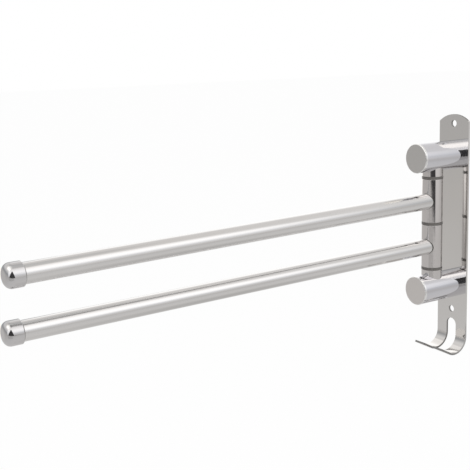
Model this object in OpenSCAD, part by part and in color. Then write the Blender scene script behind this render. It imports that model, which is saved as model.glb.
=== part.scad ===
// Swing arm towel bar: a wall strip with a split hook, two posts and two arms that
// swing on one upright column.
// Millimetres. The wall is the plane y = 0, the object stands off it towards -Y and
// +Z is up. The origin is midway between the two wall screw holes.

/* [Back plate] */
// Width of the strip that lies on the wall
plate_width = 33.5; // [30:0.1:40]
// Thickness of the strip
plate_thickness = 1.8; // [1.2:0.1:3]
// Distance between the two wall screw holes
screw_spacing = 166.3; // [160:0.1:190]
// Diameter of each wall screw hole
screw_hole_diameter = 6; // [4:0.1:7.5]
// Height of the arched top above the upper screw hole
top_margin = 7.9; // [7.6:0.1:12]
// Height of the arch above the corners of the straight sides
arch_rise = 6.05; // [2:0.05:14]

/* [Hook] */
// Height of the strip between the lower screw hole and the top of the slot
slot_below_hole = 8.75; // [4.5:0.05:12]
// Width of the slot that splits the hook into two prongs
slot_width = 11; // [8:0.1:18]
// Height of the strip between the lower screw hole and the start of the bend
bend_below_hole = 22.75; // [20:0.05:30]
// Radius of the inside of the bend
bend_inner_radius = 12.25; // [8:0.05:18]
// Angle through which the strip is bent, in degrees
bend_angle = 118.6; // [95:0.1:150]
// Length of the straight lip after the bend
lip_length = 10.5; // [4:0.1:20]

/* [Posts] */
// Outer diameter of each post
post_diameter = 25; // [23:0.1:28]
// Wall of each post's tube
post_wall = 1.5; // [1:0.1:2.2]
// Distance from the wall to the front of the posts
post_projection = 46; // [42:0.1:60]
// Distance from the middle of the screw holes down to the middle of the two posts
post_pair_drop = 1.375; // [0:0.005:4]
// Thickness of the round cap on the front of each post
post_cap_thickness = 2; // [1.2:0.1:3]
// Chamfer round the face of each post's cap
post_cap_chamfer = 0.5; // [0.2:0.05:0.9]
// Length of each cap's spigot inside its post
post_spigot_length = 3; // [2:0.1:4]
// Length of the turned plug in the wall end of each post
plug_length = 8; // [5:0.1:12]
// Diameter of the plug's riveted end, which passes through the strip
rivet_diameter = 8; // [5:0.1:10]

/* [Column] */
// Distance from the wall to the hinge axis
column_reach = 26.6; // [24:0.1:30]
// Outer diameter of the sleeves and collars
sleeve_diameter = 17.6; // [16.5:0.1:19]
// Length of each sleeve
sleeve_length = 37.35; // [30:0.05:44]
// Bore of each sleeve, which holds its bushes
sleeve_bore = 12; // [11:0.1:13]
// Length of each bush
bush_length = 8; // [5:0.1:12]
// Diameter of the fixed rod that the arms swing on
rod_diameter = 8; // [7:0.1:9]
// Clearance round the rod inside each bush, on the radius
bush_clearance = 0.05; // [0.02:0.01:0.1]
// Clearance round the rod in the collars, washers and posts, on the radius
rod_hole_clearance = 0.1; // [0.05:0.01:0.25]
// Diameter of the dark washers between the sleeves
washer_diameter = 17.9; // [17.8:0.1:21]
// Thickness of each dark washer
washer_thickness = 2.4; // [1.5:0.1:4]
// Running gap between a turning sleeve and the washer next to it
running_gap = 0.05; // [0.02:0.01:0.15]
// Height of the collar between the upper post and the top washer
upper_collar_height = 3.75; // [2:0.05:8]
// Height of the collar between the lower post and the bottom washer
lower_collar_height = 4.5; // [2:0.05:8]

/* [Clamp inside the posts] */
// Diameter of the saddle that seats in the curve of the post's tube
saddle_diameter = 14; // [13:0.1:15]
// Height of the saddle at its middle
saddle_height = 4; // [3.5:0.1:5]
// Thickness of the metal of each disc spring
disc_spring_thickness = 0.8; // [0.5:0.05:1.2]
// Height that each disc spring rises from its rim to its bore
disc_spring_rise = 0.6; // [0.3:0.05:1]
// Width of each nut across its flats
nut_flats = 13; // [12:0.1:14]
// Height of each nut
nut_height = 6.5; // [5:0.1:7]
// Length of rod that stands past each nut
rod_end_length = 1.5; // [0.5:0.1:2.5]
// Chamfer on each end of the rod
rod_chamfer = 0.8; // [0.3:0.1:1.2]

/* [Arms] */
// Outer diameter of each arm's tube
arm_diameter = 14; // [12:0.1:15]
// Wall of each arm's tube
arm_wall = 1.2; // [0.8:0.1:2]
// Distance from the hinge axis to the face of the arm's cap
arm_reach = 382.6; // [200:0.1:450]
// Distance from the middle of each sleeve down to its arm's axis
arm_drop = 0.5; // [0:0.1:3]
// Diameter of the cap on the free end of each arm
arm_cap_diameter = 16.6; // [16:0.1:19]
// Least side wall of each arm's cap: the tube's end is turned down where the cap leaves less
arm_cap_wall = 1.3; // [1:0.05:1.5]
// Length of each arm's cap
arm_cap_length = 11.9; // [8.5:0.05:20]
// Thickness of the closed end of each arm's cap
arm_cap_end = 3.2; // [3:0.1:4.5]
// Radius of the rounded edge of each arm's cap
arm_cap_radius = 4.8; // [1:0.1:5]
// Radius of the rounded rim at the open end of each arm's cap
arm_cap_rim = 0.6; // [0.2:0.05:0.7]
// Turn of the upper arm from straight out at rest, in degrees, towards +X
upper_rest_angle = 4; // [-20:0.1:20]
// Turn of the lower arm from straight out at rest, in degrees, towards +X
lower_rest_angle = 2.2; // [-20:0.1:20]

/* [Hidden] */
$fn = 96;

// Every cut runs this far past the face that it opens
overrun = 1;

// Heights of the strip, from the screw holes outwards
screw_z = screw_spacing / 2;
plate_top_z = screw_z + top_margin;
shoulder_z = plate_top_z - arch_rise;
arch_radius = (plate_width * plate_width / 4 + arch_rise * arch_rise) / (2 * arch_rise);
slot_top_z = -screw_z - slot_below_hole;
bend_z = -screw_z - bend_below_hole;
bend_outer_radius = bend_inner_radius + plate_thickness;
bend_steps = 40;
hook_span = 2 * bend_outer_radius + lip_length;

// The stack of collars, washers and sleeves sets the distance between the posts
stack_length = upper_collar_height + lower_collar_height + 3 * washer_thickness
    + 2 * sleeve_length + 4 * running_gap;
post_spacing = post_diameter + stack_length;
upper_post_z = post_spacing / 2 - post_pair_drop;
lower_post_z = -post_spacing / 2 - post_pair_drop;
sleeve_pitch = sleeve_length + washer_thickness + 2 * running_gap;
top_washer_z = upper_post_z - post_diameter / 2 - upper_collar_height - washer_thickness / 2;
middle_washer_z = top_washer_z - sleeve_pitch;
bottom_washer_z = middle_washer_z - sleeve_pitch;
upper_sleeve_z = top_washer_z - sleeve_pitch / 2;
lower_sleeve_z = middle_washer_z - sleeve_pitch / 2;

// The posts' tubes
post_bore = post_diameter - 2 * post_wall;
post_tube_front = post_projection - post_cap_thickness;

// The clamp stack inside each post, measured from the post's axis away from the column
rod_hole_diameter = rod_diameter + 2 * rod_hole_clearance;
saddle_top = saddle_height - post_bore / 2;
spring_top = saddle_top + disc_spring_thickness + disc_spring_rise;
nut_top = spring_top + nut_height;
rod_end = nut_top + rod_end_length;

// The arms' tubes end against the closed ends of their caps
arm_tube_end = arm_reach - arm_cap_end;
arm_cap_mouth = arm_reach - arm_cap_length;
arm_spigot_diameter = min(arm_diameter, arm_cap_diameter - 2 * arm_cap_wall);

// Places the upper post's pieces, with +Z pointing away from the column
module upper_end() {
    translate([0, -column_reach, upper_post_z]) children();
}

// Places the lower post's pieces, with their own +Z pointing down, away from the column
module lower_end() {
    translate([0, -column_reach, lower_post_z]) mirror([0, 0, 1]) children();
}

// Places what swings with the upper arm, which points along its own -Y
module upper_swing() {
    translate([0, -column_reach, upper_sleeve_z]) rotate([0, 0, upper_rest_angle]) children();
}

// Places what swings with the lower arm, which points along its own -Y
module lower_swing() {
    translate([0, -column_reach, lower_sleeve_z]) rotate([0, 0, lower_rest_angle]) children();
}

// A round bar from the wall outwards, between two distances from the wall
module bar_from_wall(diameter, from, to) {
    translate([0, -from, 0]) rotate([90, 0, 0]) cylinder(d = diameter, h = to - from);
}

// A point of the bend, on the side at this radius and after this much turn
function bend_point(radius, turn) = [
    radius * cos(turn) - bend_outer_radius,
    bend_z - radius * sin(turn)
];

// The strip seen from its side, as [distance from the wall plane, height]: straight
// down the wall, round the bend and out along the lip, then back along the other face
function strip_outline() = let(
    lip = lip_length * [-sin(bend_angle), -cos(bend_angle)],
    turns = [for (i = [0:bend_steps]) bend_angle * i / bend_steps],
    back_face = [for (turn = turns) bend_point(bend_outer_radius, turn)],
    front_face = [for (i = [bend_steps:-1:0]) bend_point(bend_inner_radius, turns[i])]
) concat(
    [[0, plate_top_z]],
    back_face,
    [back_face[bend_steps] + lip, front_face[0] + lip],
    front_face,
    [[-plate_thickness, plate_top_z]]
);

// The bent strip before its top is arched
module bent_strip() {
    rotate([90, 0, 90])
        linear_extrude(plate_width, center = true)
            polygon(strip_outline());
}

// What is cut from the strip's square top to leave the arch
module arch_waste() {
    difference() {
        translate([-plate_width / 2 - overrun, -plate_thickness - overrun, shoulder_z])
            cube([plate_width + 2 * overrun, plate_thickness + 2 * overrun, arch_rise + overrun]);
        translate([0, 0, plate_top_z - arch_radius])
            bar_from_wall(2 * arch_radius, -2 * overrun, plate_thickness + 2 * overrun);
    }
}

// The slot that splits the hook, with a round top
module hook_slot() {
    slot_round_z = slot_top_z - slot_width / 2;
    translate([0, 0, slot_round_z])
        bar_from_wall(slot_width, -overrun, plate_thickness + overrun);
    translate([-slot_width / 2, -hook_span - overrun, bend_z - hook_span])
        cube([slot_width, hook_span + 2 * overrun, slot_round_z - bend_z + hook_span]);
}

module back_plate() {
    color("silver") difference() {
        bent_strip();
        arch_waste();
        for (z = [screw_z, -screw_z])
            translate([0, 0, z])
                bar_from_wall(screw_hole_diameter, -overrun, plate_thickness + overrun);
        for (z = [upper_post_z, lower_post_z])
            translate([0, 0, z])
                bar_from_wall(rivet_diameter, -overrun, plate_thickness + overrun);
        hook_slot();
    }
}

// A post's tube, from the strip to its cap, with a hole for the rod in the side
// that faces the column
module post_tube() {
    difference() {
        translate([0, column_reach, 0])
            bar_from_wall(post_diameter, plate_thickness, post_tube_front);
        translate([0, column_reach, 0])
            bar_from_wall(post_bore, plate_thickness - overrun, post_tube_front + overrun);
        translate([0, 0, -post_diameter / 2 - overrun])
            cylinder(d = rod_hole_diameter, h = post_diameter / 2 + overrun);
    }
}

// The round cap that closes a post, with a spigot inside the tube
module post_cap() {
    cap_profile = [
        [0, -post_spigot_length],
        [post_bore / 2, -post_spigot_length],
        [post_bore / 2, 0],
        [post_diameter / 2, 0],
        [post_diameter / 2, post_cap_thickness - post_cap_chamfer],
        [post_diameter / 2 - post_cap_chamfer, post_cap_thickness],
        [0, post_cap_thickness]
    ];
    translate([0, column_reach - post_tube_front, 0]) rotate([90, 0, 0])
        rotate_extrude() polygon(cap_profile);
}

// The turned plug in a post's wall end, riveted over flush behind the strip
module post_plug() {
    translate([0, column_reach, 0]) {
        bar_from_wall(post_bore, plate_thickness, plate_thickness + plug_length);
        bar_from_wall(rivet_diameter, 0, plate_thickness + plug_length / 2);
    }
}

// A fixed collar under a post, shaped to the post's round side
module collar(height) {
    difference() {
        translate([0, 0, -post_diameter / 2 - height])
            cylinder(d = sleeve_diameter, h = post_diameter / 2 + height);
        translate([0, column_reach, 0])
            bar_from_wall(post_diameter, 0, post_projection);
        translate([0, 0, -post_diameter / 2 - height - overrun])
            cylinder(d = rod_hole_diameter, h = post_diameter / 2 + height + 2 * overrun);
    }
}

// The saddle that gives the nut a flat seat on the inside of the post's tube
module saddle() {
    difference() {
        intersection() {
            translate([0, 0, -post_bore / 2])
                cylinder(d = saddle_diameter, h = saddle_height);
            translate([0, column_reach, 0])
                bar_from_wall(post_bore, 0, post_projection);
        }
        translate([0, 0, -post_bore / 2 - overrun])
            cylinder(d = rod_hole_diameter, h = saddle_height + 2 * overrun);
    }
}

// A coned disc spring, which keeps the arms' friction steady
module disc_spring() {
    bore_radius = rod_hole_diameter / 2;
    rim_radius = saddle_diameter / 2;
    spring_profile = [
        [rim_radius, 0],
        [rim_radius, disc_spring_thickness],
        [bore_radius, disc_spring_thickness + disc_spring_rise],
        [bore_radius, disc_spring_rise]
    ];
    translate([0, 0, saddle_top]) rotate_extrude() polygon(spring_profile);
}

// A hexagon nut on the end of the rod
module nut() {
    corner_diameter = nut_flats / cos(30);
    translate([0, 0, spring_top]) difference() {
        cylinder(d = corner_diameter, h = nut_height, $fn = 6);
        translate([0, 0, -overrun]) cylinder(d = rod_diameter, h = nut_height + 2 * overrun);
    }
}

// A washer of the column, centred on its own height
module washer() {
    difference() {
        cylinder(d = washer_diameter, h = washer_thickness, center = true);
        cylinder(d = rod_hole_diameter, h = washer_thickness + 2 * overrun, center = true);
    }
}

// A sleeve that turns on the rod, centred on its own height
module sleeve() {
    difference() {
        cylinder(d = sleeve_diameter, h = sleeve_length, center = true);
        cylinder(d = sleeve_bore, h = sleeve_length + 2 * overrun, center = true);
    }
}

// A bush in one end of a sleeve: side is 1 for the top end and -1 for the bottom end
module bush(side) {
    translate([0, 0, side * (sleeve_length - bush_length) / 2]) difference() {
        cylinder(d = sleeve_bore, h = bush_length, center = true);
        cylinder(d = rod_diameter + 2 * bush_clearance, h = bush_length + 2 * overrun,
            center = true);
    }
}

// An arm's tube, shaped to the round side of its sleeve
module arm_tube() {
    difference() {
        translate([0, 0, -arm_drop]) {
            bar_from_wall(arm_diameter, 0, arm_cap_mouth);
            bar_from_wall(arm_spigot_diameter, arm_cap_mouth - arm_wall, arm_tube_end);
        }
        translate([0, 0, -arm_drop])
            bar_from_wall(arm_diameter - 2 * arm_wall, -overrun, arm_cap_mouth - arm_wall);
        translate([0, 0, -arm_drop])
            bar_from_wall(arm_spigot_diameter - 2 * arm_wall, -overrun, arm_tube_end + overrun);
        cylinder(d = sleeve_diameter, h = sleeve_length, center = true);
    }
}

// The round-edged cap over the free end of an arm
module arm_cap() {
    edge_x = arm_cap_diameter / 2 - arm_cap_radius;
    edge_z = arm_cap_length - arm_cap_radius;
    rim_x = arm_cap_diameter / 2 - arm_cap_rim;
    translate([0, arm_cap_length - arm_reach, -arm_drop]) rotate([90, 0, 0]) difference() {
        rotate_extrude() {
            square([edge_x, arm_cap_length]);
            square([rim_x, edge_z]);
            translate([0, arm_cap_rim]) square([arm_cap_diameter / 2, edge_z - arm_cap_rim]);
            translate([edge_x, edge_z]) intersection() {
                circle(r = arm_cap_radius);
                square(arm_cap_radius);
            }
            translate([rim_x, arm_cap_rim]) intersection() {
                circle(r = arm_cap_rim);
                translate([0, -arm_cap_rim]) square(arm_cap_rim);
            }
        }
        translate([0, 0, -overrun])
            cylinder(d = arm_spigot_diameter, h = arm_cap_length - arm_cap_end + overrun);
    }
}

module upper_post() {
    color("silver") upper_end() post_tube();
}

module lower_post() {
    color("silver") lower_end() post_tube();
}

module upper_post_cap() {
    color("darkgray") upper_end() post_cap();
}

module lower_post_cap() {
    color("darkgray") lower_end() post_cap();
}

module upper_post_plug() {
    color("gray") upper_end() post_plug();
}

module lower_post_plug() {
    color("gray") lower_end() post_plug();
}

module upper_collar() {
    color("silver") upper_end() collar(upper_collar_height);
}

module lower_collar() {
    color("silver") lower_end() collar(lower_collar_height);
}

module pivot_rod() {
    rod_profile = [
        [0, lower_post_z - rod_end],
        [rod_diameter / 2 - rod_chamfer, lower_post_z - rod_end],
        [rod_diameter / 2, lower_post_z - rod_end + rod_chamfer],
        [rod_diameter / 2, upper_post_z + rod_end - rod_chamfer],
        [rod_diameter / 2 - rod_chamfer, upper_post_z + rod_end],
        [0, upper_post_z + rod_end]
    ];
    color("gray") translate([0, -column_reach, 0]) rotate_extrude() polygon(rod_profile);
}

module upper_saddle() {
    color("gray") upper_end() saddle();
}

module lower_saddle() {
    color("gray") lower_end() saddle();
}

module upper_disc_spring() {
    color("dimgray") upper_end() disc_spring();
}

module lower_disc_spring() {
    color("dimgray") lower_end() disc_spring();
}

module upper_nut() {
    color("gray") upper_end() nut();
}

module lower_nut() {
    color("gray") lower_end() nut();
}

module top_washer() {
    color("dimgray") translate([0, -column_reach, top_washer_z]) washer();
}

module middle_washer() {
    color("dimgray") translate([0, -column_reach, middle_washer_z]) washer();
}

module bottom_washer() {
    color("dimgray") translate([0, -column_reach, bottom_washer_z]) washer();
}

module upper_sleeve() {
    color("silver") upper_swing() sleeve();
}

module lower_sleeve() {
    color("silver") lower_swing() sleeve();
}

module upper_sleeve_top_bush() {
    color("ivory") upper_swing() bush(1);
}

module upper_sleeve_bottom_bush() {
    color("ivory") upper_swing() bush(-1);
}

module lower_sleeve_top_bush() {
    color("ivory") lower_swing() bush(1);
}

module lower_sleeve_bottom_bush() {
    color("ivory") lower_swing() bush(-1);
}

module upper_arm_tube() {
    color("silver") upper_swing() arm_tube();
}

module lower_arm_tube() {
    color("silver") lower_swing() arm_tube();
}

module upper_arm_cap() {
    color("lightgray") upper_swing() arm_cap();
}

module lower_arm_cap() {
    color("lightgray") lower_swing() arm_cap();
}

back_plate();
upper_post();
lower_post();
upper_post_cap();
lower_post_cap();
upper_post_plug();
lower_post_plug();
upper_collar();
lower_collar();
pivot_rod();
upper_saddle();
lower_saddle();
upper_disc_spring();
lower_disc_spring();
upper_nut();
lower_nut();
top_washer();
middle_washer();
bottom_washer();
upper_sleeve();
lower_sleeve();
upper_sleeve_top_bush();
upper_sleeve_bottom_bush();
lower_sleeve_top_bush();
lower_sleeve_bottom_bush();
upper_arm_tube();
lower_arm_tube();
upper_arm_cap();
lower_arm_cap();
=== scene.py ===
import bpy
from math import cos, radians, sin
from mathutils import Matrix, Vector


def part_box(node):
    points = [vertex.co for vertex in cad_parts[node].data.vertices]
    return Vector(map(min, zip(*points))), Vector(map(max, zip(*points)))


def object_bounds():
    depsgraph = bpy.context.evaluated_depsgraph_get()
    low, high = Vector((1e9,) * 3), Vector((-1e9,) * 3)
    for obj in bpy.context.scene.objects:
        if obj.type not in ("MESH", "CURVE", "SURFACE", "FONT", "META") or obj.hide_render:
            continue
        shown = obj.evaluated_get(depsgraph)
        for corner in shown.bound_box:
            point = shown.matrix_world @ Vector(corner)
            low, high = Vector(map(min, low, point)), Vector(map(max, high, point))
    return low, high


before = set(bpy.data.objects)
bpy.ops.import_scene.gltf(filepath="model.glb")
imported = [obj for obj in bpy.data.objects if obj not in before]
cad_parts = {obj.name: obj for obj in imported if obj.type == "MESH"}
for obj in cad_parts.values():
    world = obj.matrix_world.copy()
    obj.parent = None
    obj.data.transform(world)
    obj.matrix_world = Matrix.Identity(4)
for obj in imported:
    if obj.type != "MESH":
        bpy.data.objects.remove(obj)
cadBox = [list(corner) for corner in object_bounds()]
mm = 0.001
print("frame loaded:", len(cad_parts), "pieces")


# Camera: half a metre off the wall and half a metre to the right, a little above the bar

cameraSetup = {
    "target": (-377.1, 0, -72.9),   # mm, where the axis of the lens crosses the wall plane
    "distance": 1066.6,             # mm, from there to the camera
    "azimuth": 58.94,               # degrees to the right of straight in front
    "elevation": 11.35,             # degrees up
    "roll": -2.20,                  # degrees
    "lens": 63.59,                  # mm
    "sensor": 36,                   # mm across
    "nearest": 0.01,                # m, the closest that still shows
}


def placeCamera(setup):
    azimuth = radians(setup["azimuth"])
    elevation = radians(setup["elevation"])
    roll = radians(setup["roll"])
    back = Vector((sin(azimuth) * cos(elevation), -cos(azimuth) * cos(elevation), sin(elevation)))
    level = Vector((cos(azimuth), sin(azimuth), 0))
    upright = back.cross(level)
    right = level * cos(roll) + upright * sin(roll)
    up = upright * cos(roll) - level * sin(roll)
    turn = Matrix((right, up, back)).transposed().to_4x4()
    place = (Vector(setup["target"]) + back * setup["distance"]) * mm
    data = bpy.data.cameras.new("viewCamera")
    data.lens = setup["lens"]
    data.sensor_width = setup["sensor"]
    data.clip_start = setup["nearest"]
    camera = bpy.data.objects.new("viewCamera", data)
    camera.matrix_world = Matrix.Translation(place) @ turn
    bpy.context.scene.collection.objects.link(camera)
    bpy.context.scene.camera = camera


placeCamera(cameraSetup)
print("camera placed")


# Node helpers

def addNode(tree, kind, **settings):
    node = tree.nodes.new(kind)
    for name, value in settings.items():
        setattr(node, name, value)
    return node


def feed(tree, socket, value):
    # Takes another node's output or a plain value
    if isinstance(value, bpy.types.NodeSocket):
        tree.links.new(value, socket)
    else:
        socket.default_value = value


def calc(tree, operation, first, second=0.0):
    node = addNode(tree, "ShaderNodeMath", operation=operation)
    feed(tree, node.inputs[0], first)
    feed(tree, node.inputs[1], second)
    return node.outputs[0]


def vectorCalc(tree, operation, first, second=(0, 0, 0)):
    node = addNode(tree, "ShaderNodeVectorMath", operation=operation)
    feed(tree, node.inputs[0], first)
    feed(tree, node.inputs[1], second)
    return node.outputs["Value" if operation in ("DOT_PRODUCT", "LENGTH") else "Vector"]


def axesOf(tree, vector):
    node = addNode(tree, "ShaderNodeSeparateXYZ")
    feed(tree, node.inputs[0], vector)
    return node.outputs


def ease(tree, value, fromLow, fromHigh, toLow=0.0, toHigh=1.0, curve="SMOOTHSTEP"):
    node = addNode(tree, "ShaderNodeMapRange", interpolation_type=curve)
    feed(tree, node.inputs["Value"], value)
    feed(tree, node.inputs["From Min"], fromLow)
    feed(tree, node.inputs["From Max"], fromHigh)
    feed(tree, node.inputs["To Min"], toLow)
    feed(tree, node.inputs["To Max"], toHigh)
    return node.outputs["Result"]


def slide(tree, amount, low, high):
    return ease(tree, amount, 0.0, 1.0, low, high, curve="LINEAR")


def blendColour(tree, amount, first, second):
    node = addNode(tree, "ShaderNodeMix", data_type="RGBA")
    feed(tree, node.inputs[0], amount)
    feed(tree, node.inputs[6], first)    # the colour inputs of a Mix node are its 6 and 7
    feed(tree, node.inputs[7], second)
    return node.outputs[2]


def mixShaders(tree, amount, first, second):
    node = addNode(tree, "ShaderNodeMixShader")
    feed(tree, node.inputs[0], amount)
    feed(tree, node.inputs[1], first.outputs[0])
    feed(tree, node.inputs[2], second.outputs[0])
    return node


def noise(tree, vector, scale, detail, roughness=0.5):
    node = addNode(tree, "ShaderNodeTexNoise")
    feed(tree, node.inputs["Vector"], vector)
    feed(tree, node.inputs["Scale"], scale)
    feed(tree, node.inputs["Detail"], detail)
    feed(tree, node.inputs["Roughness"], roughness)
    return node.outputs["Fac"]


def startGroup(name, inputs, outputs):
    group = bpy.data.node_groups.new(name, "ShaderNodeTree")
    for socketName, kind, value in inputs:
        socket = group.interface.new_socket(name=socketName, in_out="INPUT", socket_type=kind)
        if value is not None:
            socket.default_value = value
    for socketName, kind in outputs:
        group.interface.new_socket(name=socketName, in_out="OUTPUT", socket_type=kind)
    given = group.nodes.new("NodeGroupInput").outputs
    result = group.nodes.new("NodeGroupOutput").inputs
    return group, given, result


def useGroup(tree, group, **values):
    node = addNode(tree, "ShaderNodeGroup", node_tree=group)
    for name, value in values.items():
        feed(tree, node.inputs[name], value)
    return node.outputs


# Shared effects

floatSocket = "NodeSocketFloat"
vectorSocket = "NodeSocketVector"
colourSocket = "NodeSocketColor"

grainSetup = {"lineDetail": 3.0, "lineHarshness": 0.6, "hazeDetail": 2.0}
ringSetup = {"detail": 2.0, "harshness": 0.7}
speckSetup = {"detail": 1.0, "limit": 0.75, "reach": 0.3, "softness": 0.08}
roomLook = {
    "heights": [   # degrees up, tone, warmth
        (-90, 0.54, 0.02), (-50, 0.71, 0.02), (-25, 0.685, 0.012), (-8, 0.573, 0.03),
        (8, 0.42, -0.02), (30, 0.885, 0.01), (60, 0.80, 0.03), (88, 0.33, -0.05),
    ],
}


def makePolishGrain(setup):
    # Fine buffing lines, drawn out along one axis, and the soft haze that a cloth leaves
    group, given, result = startGroup(
        "polishGrain",
        [("Vector", vectorSocket, None), ("Stretch", vectorSocket, (1, 1, 1)),
         ("LineScale", floatSocket, 900.0), ("HazeScale", floatSocket, 30.0)],
        [("Lines", floatSocket), ("Haze", floatSocket)],
    )
    drawn = vectorCalc(group, "MULTIPLY", given["Vector"], given["Stretch"])
    lines = noise(group, drawn, given["LineScale"], setup["lineDetail"], setup["lineHarshness"])
    feed(group, result["Lines"], lines)
    haze = noise(group, given["Vector"], given["HazeScale"], setup["hazeDetail"])
    feed(group, result["Haze"], haze)
    return group


def makeTurnedRings(setup):
    # Rings left by turning a face, round a centre; Flat is 0 along the axis of the turning
    group, given, result = startGroup(
        "turnedRings",
        [("Vector", vectorSocket, None), ("Centre", vectorSocket, None),
         ("Flat", vectorSocket, (1, 0, 1)), ("Pitch", floatSocket, 0.0004)],
        [("Rings", floatSocket)],
    )
    fromCentre = vectorCalc(group, "SUBTRACT", given["Vector"], given["Centre"])
    radius = vectorCalc(group, "LENGTH", vectorCalc(group, "MULTIPLY", fromCentre, given["Flat"]))
    along = addNode(group, "ShaderNodeCombineXYZ")
    feed(group, along.inputs["X"], calc(group, "DIVIDE", radius, given["Pitch"]))
    rings = noise(group, along.outputs["Vector"], 1.0, setup["detail"], setup["harshness"])
    feed(group, result["Rings"], rings)
    return group


def makeFineSpeckle(setup):
    # Small specks of dust and pits
    group, given, result = startGroup(
        "fineSpeckle",
        [("Vector", vectorSocket, None), ("Scale", floatSocket, 1500.0),
         ("Share", floatSocket, 0.3)],
        [("Specks", floatSocket)],
    )
    grain = noise(group, given["Vector"], given["Scale"], setup["detail"])
    lowered = calc(group, "MULTIPLY", given["Share"], setup["reach"])
    start = calc(group, "SUBTRACT", setup["limit"], lowered)
    full = calc(group, "ADD", start, setup["softness"])
    feed(group, result["Specks"], ease(group, grain, start, full))
    return group


def makeRoomTone(look):
    # How bright the white room is in each direction, by height
    group, given, result = startGroup(
        "roomTone", [("Direction", vectorSocket, None)], [("Tone", colourSocket)])
    direction = vectorCalc(group, "NORMALIZE", given["Direction"])
    ramp = addNode(group, "ShaderNodeValToRGB")
    height = ease(group, axesOf(group, direction)["Z"], -1.0, 1.0, curve="LINEAR")
    feed(group, ramp.inputs[0], height)
    stops = ramp.color_ramp.elements
    while len(stops) < len(look["heights"]):
        stops.new(0.5)
    for stop, (degrees, tone, warmth) in zip(stops, look["heights"]):
        stop.position = (sin(radians(degrees)) + 1) / 2
        stop.color = (tone * (1 + warmth), tone, tone * (1 - warmth), 1)
    feed(group, result["Tone"], ramp.outputs["Color"])
    return group


polishGrain = makePolishGrain(grainSetup)
turnedRings = makeTurnedRings(ringSetup)
fineSpeckle = makeFineSpeckle(speckSetup)
roomTone = makeRoomTone(roomLook)
print("shared effects made")


# Materials

# The part of each noise's range that a finish spreads over its own roughness
lineSpan = (0.3, 0.75)
hazeSpan = (0.35, 0.75)
grainSpan = (0.3, 0.7)


def startMaterial(name):
    material = bpy.data.materials.new(name)
    material.use_nodes = True
    tree = material.node_tree
    shader = tree.nodes["Principled BSDF"]
    place = addNode(tree, "ShaderNodeTexCoord").outputs
    return material, tree, shader, place


def addBump(tree, shader, height, look):
    bump = addNode(tree, "ShaderNodeBump")
    bump.inputs["Strength"].default_value = look["bump"]
    bump.inputs["Distance"].default_value = look["bumpDepth"]
    feed(tree, bump.inputs["Height"], height)
    feed(tree, shader.inputs["Normal"], bump.outputs["Normal"])


def makePunchedMask(tree, place, look):
    # The walls of the holes and of the slot, left rough by the punch
    at = axesOf(tree, place["Object"])
    facing = axesOf(tree, place["Normal"])
    inner = calc(tree, "LESS_THAN", calc(tree, "ABSOLUTE", at["X"]), look["inside"])
    sideways = calc(tree, "GREATER_THAN", calc(tree, "ABSOLUTE", facing["X"]), look["sideFacing"])
    straight = calc(tree, "GREATER_THAN", at["Z"], look["straightAbove"])
    inwards = calc(tree, "LESS_THAN", calc(tree, "ABSOLUTE", facing["Y"]), look["frontFacing"])
    wall = calc(tree, "MAXIMUM", sideways, calc(tree, "MULTIPLY", straight, inwards))
    return calc(tree, "MULTIPLY", inner, wall)


def makeTipMask(tree, place, look):
    # The cut ends of the hook's prongs, and its cut sides, which get cleaner up the bend
    at = axesOf(tree, place["Object"])
    facing = axesOf(tree, place["Normal"])
    low = ease(tree, at["Z"], look["below"], look["below"] - look["fade"])
    tip = calc(tree, "LESS_THAN", at["Y"], look["tip"])
    end = calc(tree, "MULTIPLY", tip, ease(tree, facing["Y"], *look["endFacing"]))
    sideways = calc(tree, "GREATER_THAN", calc(tree, "ABSOLUTE", facing["X"]), look["sideFacing"])
    dulled = ease(tree, at["Y"], look["root"], look["tip"], look["sideShare"], 1.0)
    side = calc(tree, "MULTIPLY", sideways, dulled)
    return calc(tree, "MULTIPLY", low, calc(tree, "MAXIMUM", end, side))


def makeSeamShadeMask(tree, place, look):
    # The thin dark seams at the two ends of an arm's tube, painted darker as contact shade, by
    # distance from its hinge
    fromHinge = vectorCalc(tree, "SUBTRACT", place["Object"], look["hinge"])
    level = vectorCalc(tree, "MULTIPLY", fromHinge, (1, 1, 0))   # leaves the height out
    away = vectorCalc(tree, "LENGTH", level)
    weld = look["sleeve"] + look["weldWidth"]
    mouth = look["cap"] - look["mouthWidth"]
    near = ease(tree, away, weld, weld - look["weldWidth"] * look["softness"])
    far = ease(tree, away, mouth, mouth + look["mouthWidth"] * look["softness"])
    return calc(tree, "MAXIMUM", near, far)


def makePolishedSteel(name, look):
    material, tree, shader, place = startMaterial(name)
    grain = useGroup(tree, polishGrain, Vector=place["Object"], Stretch=look["stretch"],
                     LineScale=look["lineScale"], HazeScale=look["hazeScale"])
    colour = blendColour(tree, grain["Haze"], look["dark"], look["bright"])
    lines = ease(tree, grain["Lines"], *lineSpan, 0.0, look["lineRoughness"])
    haze = ease(tree, grain["Haze"], *hazeSpan, look["roughness"], look["hazeRoughness"])
    roughness = calc(tree, "ADD", lines, haze)
    for makeMask, part in look.get("parts", ()):
        mask = makeMask(tree, place, part)
        shade = blendColour(tree, grain["Lines"], part["dark"], part["bright"])
        colour = blendColour(tree, mask, colour, shade)
        roughness = slide(tree, mask, roughness, part["roughness"])
    feed(tree, shader.inputs["Base Color"], colour)
    feed(tree, shader.inputs["Roughness"], roughness)
    shader.inputs["Metallic"].default_value = 1.0
    addBump(tree, shader, grain["Lines"], look)
    return material


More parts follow.
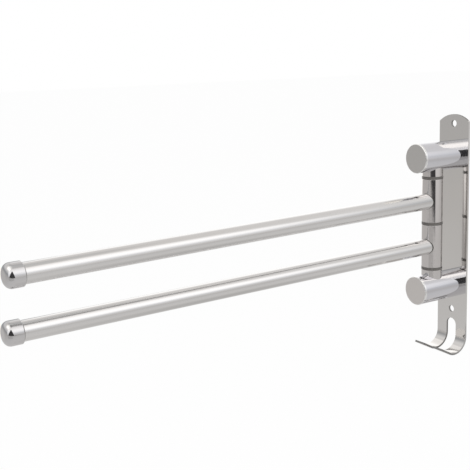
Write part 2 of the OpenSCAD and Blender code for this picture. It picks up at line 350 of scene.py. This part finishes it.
punchedLook = {
    "inside": 0.0155,          # m from the strip's middle line, short of its outer sides
    "straightAbove": -0.095,   # m, where the slot's straight part ends and the bend begins
    "sideFacing": 0.45, "frontFacing": 0.5, "roughness": 0.5,
    "dark": (0.22, 0.215, 0.21, 1), "bright": (0.34, 0.33, 0.32, 1),
}
tipLook = {
    "below": -0.09, "fade": 0.01,   # m, the height it starts at and comes in over
    "root": -0.004, "tip": -0.02,   # m, from the wall to the front
    "endFacing": (-0.6, -0.8), "sideFacing": 0.7, "sideShare": 0.45, "roughness": 0.4,
    "dark": (0.25, 0.245, 0.24, 1), "bright": (0.36, 0.355, 0.35, 1),
}
# painted contact shade where the tube meets its sleeve and where it enters its cap
seamShadeLook = {
    "hinge": (0, -0.0266, 0), "sleeve": 0.0088, "cap": 0.3707,   # m, from the hinge
    "weldWidth": 0.0013, "mouthWidth": 0.0006, "softness": 0.6, "roughness": 0.4,
    "dark": (0.04, 0.037, 0.03, 1), "bright": (0.08, 0.075, 0.065, 1),
}
stripLook = {
    "dark": (0.67, 0.658, 0.646, 1), "bright": (0.72, 0.708, 0.697, 1),
    "stretch": (1.0, 1.0, 0.06), "lineScale": 1400.0, "hazeScale": 22.0,
    "roughness": 0.05, "hazeRoughness": 0.09, "lineRoughness": 0.04,
    "bump": 0.02, "bumpDepth": 0.0001,
    "parts": [(makeTipMask, tipLook), (makePunchedMask, punchedLook)],
}
tubeLook = {
    "stretch": (0.08, 1.0, 0.08), "lineScale": 1100.0, "hazeScale": 28.0,
    "roughness": 0.05, "hazeRoughness": 0.09, "lineRoughness": 0.04,
    "bump": 0.015, "bumpDepth": 0.0001,
}
# The arms, posts, column and caps are one polished steel: their differing tones are painted
# reflection, lilac on the posts, warm on the column and darker on the caps
armLook = dict(tubeLook, dark=(0.69, 0.682, 0.678, 1), bright=(0.735, 0.73, 0.728, 1),
               parts=[(makeSeamShadeMask, seamShadeLook)])
postLook = dict(tubeLook, dark=(0.635, 0.633, 0.665, 1), bright=(0.68, 0.68, 0.715, 1))
columnLook = dict(tubeLook, dark=(0.64, 0.62, 0.615, 1), bright=(0.69, 0.672, 0.67, 1),
                  stretch=(0.08, 0.08, 1.0))
capLook = dict(tubeLook, dark=(0.59, 0.585, 0.588, 1), bright=(0.64, 0.635, 0.645, 1),
               hazeScale=60.0, roughness=0.04, hazeRoughness=0.07)


def makeSatinFace(name, look):
    # Polished round its side and satin, with fine turning rings, on its flat face; its side and
    # rounded edge carry a painted highlight
    material, tree, shader, place = startMaterial(name)
    grain = useGroup(tree, polishGrain, Vector=place["Object"], HazeScale=look["hazeScale"])
    rings = useGroup(tree, turnedRings, Vector=place["Object"], Centre=look["centre"],
                     Flat=look["flat"], Pitch=look["pitch"])["Rings"]
    facing = vectorCalc(tree, "DOT_PRODUCT", place["Normal"], look["outwards"])
    onHighlightEdge = ease(tree, facing, *look["edgeFacing"])
    onFace = ease(tree, facing, *look["faceFacing"])
    # the side and its rounded edge are painted lighter than the post, a painted highlight for the
    # bright rim
    side = blendColour(tree, grain["Haze"], look["sideHighlightDark"], look["sideHighlightBright"])
    rounded = blendColour(tree, onHighlightEdge, side, look["edge"])
    face = blendColour(tree, rings, look["faceDark"], look["faceBright"])
    feed(tree, shader.inputs["Base Color"], blendColour(tree, onFace, rounded, face))
    sideRoughness = ease(tree, grain["Haze"], *hazeSpan, look["roughness"], look["hazeRoughness"])
    roundedRoughness = slide(tree, onHighlightEdge, sideRoughness, look["edgeRoughness"])
    ringRoughness = calc(tree, "MULTIPLY", rings, look["ringRoughness"])
    faceRoughness = calc(tree, "ADD", look["faceRoughness"], ringRoughness)
    feed(tree, shader.inputs["Roughness"], slide(tree, onFace, roundedRoughness, faceRoughness))
    shader.inputs["Metallic"].default_value = 1.0
    addBump(tree, shader, calc(tree, "MULTIPLY", rings, onFace), look)
    return material


postFaceLook = {
    "outwards": (0, -1, 0), "edgeFacing": (0.05, 0.25), "faceFacing": (0.9, 0.98),
    # side and edge colours lighter than the post: a painted highlight on the cap's rim
    "sideHighlightDark": (0.80, 0.80, 0.805, 1), "sideHighlightBright": (0.86, 0.86, 0.865, 1),
    "edge": (0.88, 0.88, 0.88, 1),
    "faceDark": (0.57, 0.56, 0.55, 1), "faceBright": (0.66, 0.65, 0.635, 1),
    "flat": (1, 0, 1), "pitch": 0.00035, "hazeScale": 60.0,
    "roughness": 0.05, "hazeRoughness": 0.09, "edgeRoughness": 0.5,
    "faceRoughness": 0.24, "ringRoughness": 0.1,
    "bump": 0.05, "bumpDepth": 0.0001,
}
# a lighter, warmer copy of the upper face: painted light on the lower post's face
lowerFaceLook = dict(postFaceLook, faceDark=(0.66, 0.635, 0.62, 1),
                     faceBright=(0.74, 0.715, 0.70, 1))


def makeTurnedSteel(name, look):
    material, tree, shader, place = startMaterial(name)
    lines = useGroup(tree, polishGrain, Vector=place["Object"], Stretch=look["stretch"],
                     LineScale=look["lineScale"])["Lines"]
    specks = useGroup(tree, fineSpeckle, Vector=place["Object"], Scale=look["speckScale"],
                      Share=look["specks"])["Specks"]
    colour = blendColour(tree, lines, look["dark"], look["bright"])
    feed(tree, shader.inputs["Base Color"], blendColour(tree, specks, colour, look["speck"]))
    roughness = ease(tree, lines, *grainSpan, look["smooth"], look["rough"])
    feed(tree, shader.inputs["Roughness"], roughness)
    shader.inputs["Metallic"].default_value = 1.0
    addBump(tree, shader, lines, look)
    return material


turnedLook = {
    "dark": (0.36, 0.36, 0.37, 1), "bright": (0.5, 0.5, 0.5, 1),
    "speck": (0.25, 0.24, 0.23, 1), "speckScale": 2200.0, "specks": 0.3,
    "stretch": (0.1, 0.1, 1.0), "lineScale": 2500.0,
    "smooth": 0.22, "rough": 0.4, "bump": 0.15, "bumpDepth": 0.0002,
}
springLook = dict(turnedLook, dark=(0.12, 0.12, 0.13, 1), bright=(0.2, 0.2, 0.22, 1))


def makePlastic(name, look):
    material, tree, shader, place = startMaterial(name)
    grain = useGroup(tree, polishGrain, Vector=place["Object"], LineScale=look["grainScale"],
                     HazeScale=look["hazeScale"])
    specks = useGroup(tree, fineSpeckle, Vector=place["Object"], Scale=look["speckScale"],
                      Share=look["specks"])["Specks"]
    colour = blendColour(tree, grain["Haze"], look["dark"], look["bright"])
    feed(tree, shader.inputs["Base Color"], blendColour(tree, specks, colour, look["speck"]))
    roughness = ease(tree, grain["Lines"], *grainSpan, look["smooth"], look["rough"])
    feed(tree, shader.inputs["Roughness"], roughness)
    addBump(tree, shader, grain["Lines"], look)
    return material


washerLook = {
    "dark": (0.11, 0.102, 0.096, 1), "bright": (0.155, 0.145, 0.135, 1),
    "speck": (0.22, 0.21, 0.20, 1), "speckScale": 1800.0, "specks": 0.35,
    "grainScale": 2600.0, "hazeScale": 70.0,
    "smooth": 0.3, "rough": 0.5, "bump": 0.25, "bumpDepth": 0.0001,
}
bushLook = {
    "dark": (0.76, 0.75, 0.70, 1), "bright": (0.84, 0.83, 0.79, 1),
    "speck": (0.6, 0.58, 0.52, 1), "speckScale": 1800.0, "specks": 0.15,
    "grainScale": 1800.0, "hazeScale": 70.0,
    "smooth": 0.35, "rough": 0.5, "bump": 0.15, "bumpDepth": 0.0001,
}


def frontCentre(node):
    low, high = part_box(node)
    centre = (low + high) / 2
    centre.y = low.y
    return tuple(centre)


stripSteel = makePolishedSteel("stripSteel", stripLook)
postSteel = makePolishedSteel("postSteel", postLook)
armSteel = makePolishedSteel("armSteel", armLook)
columnSteel = makePolishedSteel("columnSteel", columnLook)
armCapSteel = makePolishedSteel("armCapSteel", capLook)
turnedSteel = makeTurnedSteel("turnedSteel", turnedLook)
springSteel = makeTurnedSteel("springSteel", springLook)
washerNylon = makePlastic("washerNylon", washerLook)
bushPlastic = makePlastic("bushPlastic", bushLook)

finishes = {
    "back_plate": stripSteel,
    "pivot_rod": turnedSteel,
}
for level, faceLook in (("upper", postFaceLook), ("lower", lowerFaceLook)):
    cap = level + "_post_cap"
    finishes[cap] = makeSatinFace(level + "PostFace", dict(faceLook, centre=frontCentre(cap)))
    finishes[level + "_post"] = postSteel
    finishes[level + "_arm_tube"] = armSteel
    finishes[level + "_arm_cap"] = armCapSteel
    finishes[level + "_sleeve"] = columnSteel
    finishes[level + "_collar"] = columnSteel
    finishes[level + "_disc_spring"] = springSteel
    for piece in ("_post_plug", "_saddle", "_nut"):
        finishes[level + piece] = turnedSteel
    for end in ("_top_bush", "_bottom_bush"):
        finishes[level + "_sleeve" + end] = bushPlastic
for place in ("top", "middle", "bottom"):
    finishes[place + "_washer"] = washerNylon

for name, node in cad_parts.items():
    node.data.materials.clear()
    node.data.materials.append(finishes[name])
print("materials made:", len(bpy.data.materials))


# Edges: each piece is shaded smooth between its sharp edges, and some are eased a little

edgeLook = {
    "sharpAngle": 32,           # degrees
    "joinWithin": 0.000001,     # m
    "easing": {                 # mm, by the end of the piece's name
        "washer": 0.3, "sleeve": 0.2, "collar": 0.15, "arm_cap": 0.25, "post_cap": 0.5, "nut": 0.3,
    },
    "easingSteps": 3,
    "flatWeight": 100,
    "asMade": ("back_plate",),   # its own shading keeps the long flats true beside the bend
}


def makeSmoothing(look):
    group = bpy.data.node_groups.new("smoothPieces", "GeometryNodeTree")
    for way in ("INPUT", "OUTPUT"):
        group.interface.new_socket(name="Geometry", in_out=way, socket_type="NodeSocketGeometry")
    given = group.nodes.new("NodeGroupInput")
    result = group.nodes.new("NodeGroupOutput")
    bare = addNode(group, "GeometryNodeRemoveAttribute")
    bare.inputs["Name"].default_value = "custom_normal"
    joined = addNode(group, "GeometryNodeMergeByDistance")
    joined.inputs["Distance"].default_value = look["joinWithin"]
    rounded = addNode(group, "GeometryNodeSetShadeSmooth", domain="FACE")
    sharpened = addNode(group, "GeometryNodeSetShadeSmooth", domain="EDGE")
    sharpened.inputs["Shade Smooth"].default_value = False
    angle = addNode(group, "GeometryNodeInputMeshEdgeAngle").outputs["Unsigned Angle"]
    sharp = calc(group, "GREATER_THAN", angle, radians(look["sharpAngle"]))
    feed(group, sharpened.inputs["Selection"], sharp)
    steps = [given, bare, joined, rounded, sharpened, result]
    for before, after in zip(steps, steps[1:]):
        feed(group, after.inputs["Geometry"], before.outputs[0])
    return group


def smoothPiece(name, node, smoothing, look):
    smooth = node.modifiers.new("smoothPieces", "NODES")
    smooth.node_group = smoothing
    widths = [width for piece, width in look["easing"].items() if name.endswith(piece)]
    if widths:
        bevel = node.modifiers.new("easedEdges", "BEVEL")
        bevel.width = widths[0] * mm
        bevel.segments = look["easingSteps"]
        bevel.limit_method = "ANGLE"
        bevel.angle_limit = radians(look["sharpAngle"])
    flatter = node.modifiers.new("flatFaces", "WEIGHTED_NORMAL")
    flatter.weight = look["flatWeight"]
    flatter.keep_sharp = True


smoothing = makeSmoothing(edgeLook)
for name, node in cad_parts.items():
    if name not in edgeLook["asMade"]:
        smoothPiece(name, node, smoothing, edgeLook)
print("edges eased")


# Studio: a pale floor, a white background, soft light, and cards that only the steel sees

white = (1, 1, 1, 1)
cameraRays = ("Is Camera Ray",)
roomRays = ("Is Camera Ray", "Is Glossy Ray", "Is Transmission Ray")   # these see the room
roomFill = 0.8   # strength of the room's light on everything else


def rayShare(tree, kinds):
    path = addNode(tree, "ShaderNodeLightPath").outputs
    share = path[kinds[0]]
    for kind in kinds[1:]:
        share = calc(tree, "MAXIMUM", share, path[kind])
    return share


def roomColour(tree, direction):
    # White to the camera, and the room's own tones to the steel
    tone = useGroup(tree, roomTone, Direction=direction)["Tone"]
    return blendColour(tree, rayShare(tree, cameraRays), tone, white)


def addSheet(name, left, right, low, high, height=0):
    mesh = bpy.data.meshes.new(name)
    corners = [(left, low), (right, low), (right, high), (left, high)]
    mesh.from_pydata([(x, y, height) for x, y in corners], [], [(0, 1, 2, 3)])
    sheet = bpy.data.objects.new(name, mesh)
    bpy.context.scene.collection.objects.link(sheet)
    return sheet


def makeWorld():
    world = bpy.data.worlds.new("paleRoom")
    bpy.context.scene.world = world
    world.use_nodes = True
    tree = world.node_tree
    tree.nodes.clear()
    direction = addNode(tree, "ShaderNodeTexCoord").outputs["Generated"]
    shown = addNode(tree, "ShaderNodeBackground")
    feed(tree, shown.inputs["Color"], roomColour(tree, direction))
    light = addNode(tree, "ShaderNodeBackground")
    light.inputs["Color"].default_value = white
    light.inputs["Strength"].default_value = roomFill
    mix = mixShaders(tree, rayShare(tree, roomRays), light, shown)
    feed(tree, addNode(tree, "ShaderNodeOutputWorld").inputs["Surface"], mix.outputs[0])


# Each card stands at a place, with its own axes across and up. Its size is left, right, low
# and high along them, and it fades in along directions in its own plane: (across, up), where
# it starts and where it is full, all in metres. A card that covers hides what is behind it,
# and the others add their light to that.

studioCards = {
    "sideCard": {    # the pale wall on the right
        "place": (0.82, 0, 0), "across": (0, 1, 0), "up": (0, 0, 1),
        "size": (-4.5, 1.4, -0.3, 3.0), "covers": False,
        "strength": 0.651, "colour": (1.0, 0.989, 1.0, 1), "share": 1.0,
        "fades": [((0, 1), -0.286, 0.318), ((0, 1), 2.96, 0.075), ((1, 0), 1.315, 0.401)],
    },
    "frontCard": {   # the bright panel that leans over the front
        "place": (0, -0.924, 1.533), "across": (1, 0, 0), "up": (0, 0.8565, 0.5162),
        "size": (-0.85, 1.0, -1.25, 2.4), "covers": False,
        "strength": 1.471, "colour": (1.04, 1.005, 0.93, 1), "share": 1.0,
        "fades": [((1, 0), -0.797, 0.005), ((1, 0), 0.953, 0.349),
                  ((0, 1), -1.192, -0.385), ((0, 1), 2.337, -1.516)],
    },
    "backCard": {    # the pale panel on the left, which reaches back past the wall
        "place": (-0.5, 0, 0), "across": (0, 1, 0), "up": (0, 0, 1),
        "size": (-0.3, 1.0, -0.2, 0.8), "covers": False,
        "strength": 0.85, "colour": (1.0, 0.985, 0.965, 1), "share": 1.0,
        "fades": [((0.3, 1), -0.06, 0.02), ((0, 1), 0.75, -0.05),
                  ((1, 0), -0.27, -0.17), ((1, 0), 0.95, 0.6)],
    },
    "darkCard": {    # the dark screen round the camera, seen as a wedge on the upper sleeve
        "place": (0.5206, -0.5416, 0), "across": (0.515, 0.857, 0), "up": (0, 0, 1),
        "size": (-0.6, 0.6, -0.25, 0.65), "covers": True,
        "strength": 0.06, "colour": (1.0, 0.98, 1.0, 1), "share": 1.0,
        "fades": [((0.10, 1), -0.141, -0.075), ((1, -0.852), -0.47, -0.402),
                  ((-1, -0.661), -0.409, -0.342)],
    },
    "shadeCard": {   # a faint shade low behind it, for the lower sleeve
        "place": (0.5463, -0.557, 0), "across": (0.515, 0.857, 0), "up": (0, 0, 1),
        "size": (-1.0, 0.4, -0.5, -0.08), "covers": True,
        "strength": 0.1, "colour": (1.0, 1.0, 1.0, 1), "share": 0.2,
        "fades": [((0, 1), -0.1, -0.15), ((0, 1), -0.5, -0.3),
                  ((1, 0), -0.8, -0.55), ((-1, 0), -0.3, -0.05)],
    },
}


def makeCard(name, look):
    card = addSheet(name, *look["size"])
    across, up = Vector(look["across"]).normalized(), Vector(look["up"]).normalized()
    turn = Matrix((across, up, across.cross(up))).transposed().to_4x4()
    card.matrix_world = Matrix.Translation(Vector(look["place"])) @ turn
    card.visible_camera = False
    card.visible_diffuse = False
    card.visible_shadow = False
    material = bpy.data.materials.new(name)
    material.use_nodes = True
    card.data.materials.append(material)
    tree = material.node_tree
    tree.nodes.clear()
    at = addNode(tree, "ShaderNodeTexCoord").outputs["Object"]
    share = look["share"]
    for (sideways, upwards), start, full in look["fades"]:
        along = vectorCalc(tree, "DOT_PRODUCT", at, (sideways, upwards, 0))
        share = calc(tree, "MULTIPLY", ease(tree, along, start, full), share)
    glow = addNode(tree, "ShaderNodeEmission")
    glow.inputs["Color"].default_value = look["colour"]
    clear = addNode(tree, "ShaderNodeBsdfTransparent")
    if look["covers"]:
        glow.inputs["Strength"].default_value = look["strength"]
        surface = mixShaders(tree, share, clear, glow)
    else:
        feed(tree, glow.inputs["Strength"], calc(tree, "MULTIPLY", share, look["strength"]))
        surface = addNode(tree, "ShaderNodeAddShader")
        feed(tree, surface.inputs[0], clear.outputs[0])
        feed(tree, surface.inputs[1], glow.outputs[0])
    feed(tree, addNode(tree, "ShaderNodeOutputMaterial").inputs["Surface"], surface.outputs[0])


floorLook = {
    "drop": 0.28,           # m below the lowest point of the object
    "reach": 30.0,          # m to each side
    "dark": (0.94, 0.94, 0.94, 1), "bright": (0.97, 0.97, 0.97, 1),
    "speckScale": 9.0, "speckDetail": 3.0, "roughness": 0.9,
    "shadowShare": 0.06,    # how much of its tone comes from the lamp and keeps the shadow
}


def makeFloor(look):
    reach = look["reach"]
    floor = addSheet("floor", -reach, reach, -reach, reach, cadBox[0][2] - look["drop"])
    material, tree, shader, place = startMaterial("paleFloor")
    speck = noise(tree, place["Object"], look["speckScale"], look["speckDetail"])
    colour = blendColour(tree, speck, look["dark"], look["bright"])
    feed(tree, shader.inputs["Base Color"], colour)
    shader.inputs["Roughness"].default_value = look["roughness"]
    glow = addNode(tree, "ShaderNodeEmission")
    feed(tree, glow.inputs["Color"], roomColour(tree, place["Object"]))
    share = calc(tree, "MULTIPLY", rayShare(tree, roomRays), 1.0 - look["shadowShare"])
    mix = mixShaders(tree, share, shader, glow)
    feed(tree, tree.nodes["Material Output"].inputs["Surface"], mix.outputs[0])
    floor.data.materials.append(material)


lampLook = {
    "power": 9.0,               # W
    "size": 1.2,                # m
    "place": (0.7, -0.9, 1.5),
    "target": (0, -0.1, 0),
}


def makeLamp(look):
    data = bpy.data.lights.new("softLamp", "AREA")
    data.energy = look["power"]
    data.size = look["size"]
    lamp = bpy.data.objects.new("softLamp", data)
    lamp.location = look["place"]
    aim = Vector(look["target"]) - Vector(look["place"])
    lamp.rotation_euler = aim.to_track_quat("-Z", "Y").to_euler()
    lamp.visible_glossy = False
    bpy.context.scene.collection.objects.link(lamp)


makeWorld()
for name, look in studioCards.items():
    makeCard(name, look)
makeFloor(floorLook)
makeLamp(lampLook)
bpy.context.scene.view_settings.view_transform = "Standard"
print("room lit")
